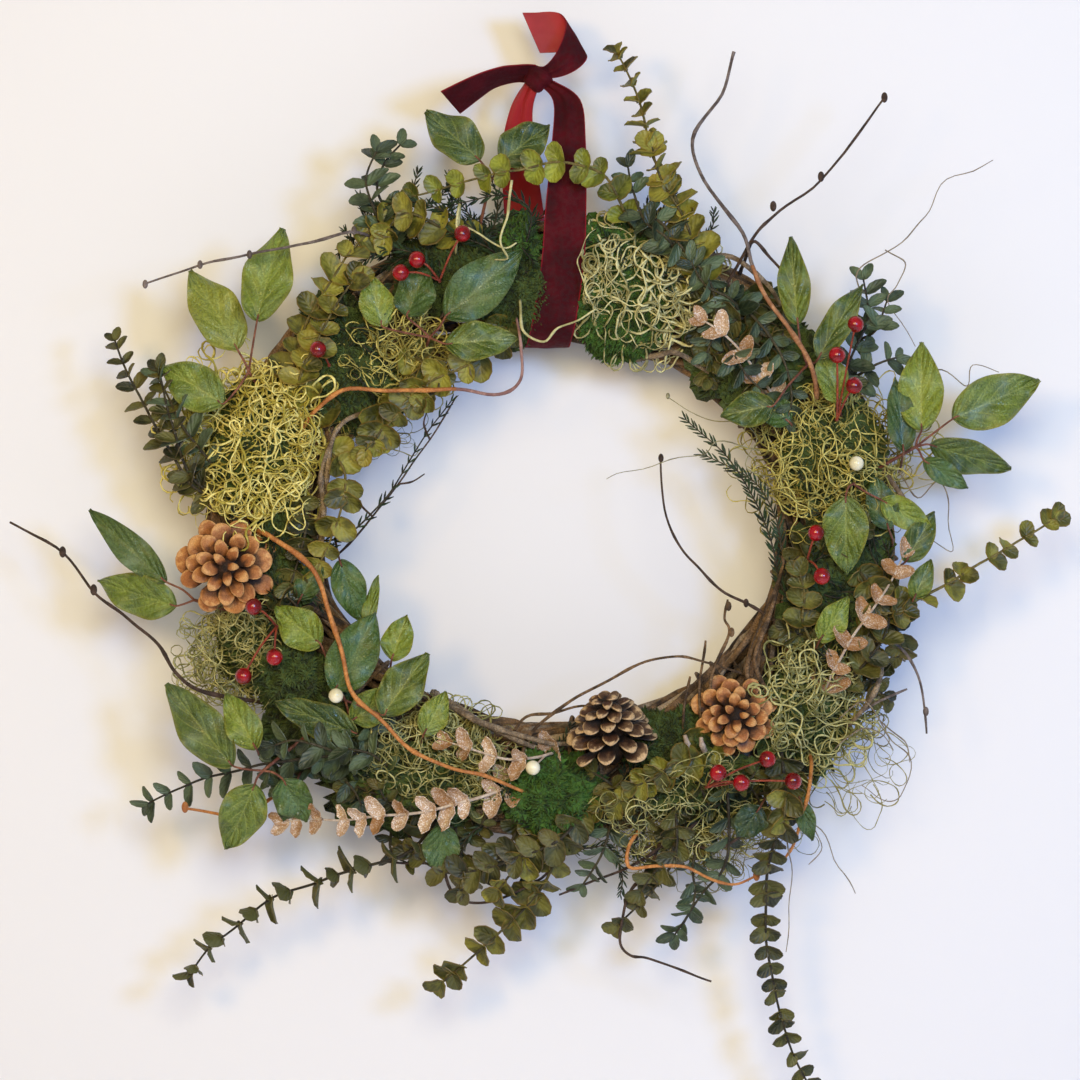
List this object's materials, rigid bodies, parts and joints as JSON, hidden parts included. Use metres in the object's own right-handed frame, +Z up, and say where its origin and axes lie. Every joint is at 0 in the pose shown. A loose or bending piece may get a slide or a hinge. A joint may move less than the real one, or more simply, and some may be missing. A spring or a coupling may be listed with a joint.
{
  "type": "hanging eucalyptus wreath",
  "caption": "Oval twisted-vine wreath with preserved eucalyptus, broad leaves, moss, pine cones and red berries, hung by a loop of dark red velvet ribbon.",
  "frame": {"origin": "the top of the ribbon loop just under its knot, where a nail or hook goes", "axes": "+Z up, the wreath faces -Y with its back towards +Y, +X to the right seen from the front"},
  "size_m": [0.5962, 0.0851, 0.6158],
  "materials": {
    "grapevine": "bare twisted vine, matt",
    "velvet": "dark red velvet with a lighter satin back",
    "cone": "dry scales, satin",
    "berry": "glossy lacquer",
    "salal_leaf": "leathery preserved leaf",
    "olive_eucalyptus": "leathery preserved leaf",
    "dark_eucalyptus": "leathery preserved leaf",
    "narrow_leaf": "leathery preserved leaf",
    "cedar": "dry scaly sprig",
    "glitter_leaf": "dried leaf with glitter",
    "curly_moss": "dry curled strands",
    "sheet_moss": "soft green moss",
    "bare_twig": "bare bark, matt"
  },
  "bodies": {
    "root": {"velvet_ribbon": "velvet", "pine_cone_left": "cone", "pine_cone_right": "cone", "pine_cone_middle": "cone", "berries_top_left": "berry", "berries_upper_left": "berry", "berries_left": "berry", "berries_upper_right": "berry", "berries_right": "berry", "berries_lower_right": "berry", "vine_orange": "bare_twig", "vine_mauve": "bare_twig", "twig_top": "bare_twig", "twig_left": "bare_twig", "eucalyptus_top_left": "olive_eucalyptus", "eucalyptus_top_right": "olive_eucalyptus", "eucalyptus_upper_left": "olive_eucalyptus", "eucalyptus_inner_top": "olive_eucalyptus", "eucalyptus_inner_left": "olive_eucalyptus", "eucalyptus_right": "olive_eucalyptus", "eucalyptus_lower_left": "olive_eucalyptus", "eucalyptus_bottom": "olive_eucalyptus", "eucalyptus_trailing": "olive_eucalyptus", "eucalyptus_bottom_small": "olive_eucalyptus", "eucalyptus_bottom_left": "dark_eucalyptus", "eucalyptus_bottom_right": "olive_eucalyptus", "eucalyptus_dark_left": "dark_eucalyptus", "eucalyptus_dark_right": "dark_eucalyptus", "narrow_top": "narrow_leaf", "narrow_upper_right": "narrow_leaf", "narrow_lower_left": "narrow_leaf", "narrow_upper_left": "narrow_leaf", "narrow_right": "narrow_leaf", "narrow_bottom": "narrow_leaf", "glitter_right": "glitter_leaf", "glitter_bottom": "glitter_leaf", "glitter_lower_left": "glitter_leaf", "glitter_upper_right": "glitter_leaf", "cedar_inner_right": "cedar", "cedar_inner_left": "cedar", "cedar_top_left": "cedar", "salal_top": "salal_leaf", "salal_top_left": "salal_leaf", "salal_upper_left": "salal_leaf", "salal_left": "salal_leaf", "salal_lower_left": "salal_leaf", "salal_inner_left": "salal_leaf", "salal_upper_right": "salal_leaf", "salal_right": "salal_leaf", "salal_inner_right": "salal_leaf", "curly_moss_left": "curly_moss", "curly_moss_upper_left": "curly_moss", "curly_moss_top": "curly_moss", "curly_moss_right": "curly_moss", "curly_moss_lower_right": "curly_moss", "curly_moss_bottom": "curly_moss", "sheet_moss_upper_left": "sheet_moss", "sheet_moss_top_right": "sheet_moss", "sheet_moss_bottom": "sheet_moss", "grapevine_ring": "grapevine"}
  },
  "joints": []
}
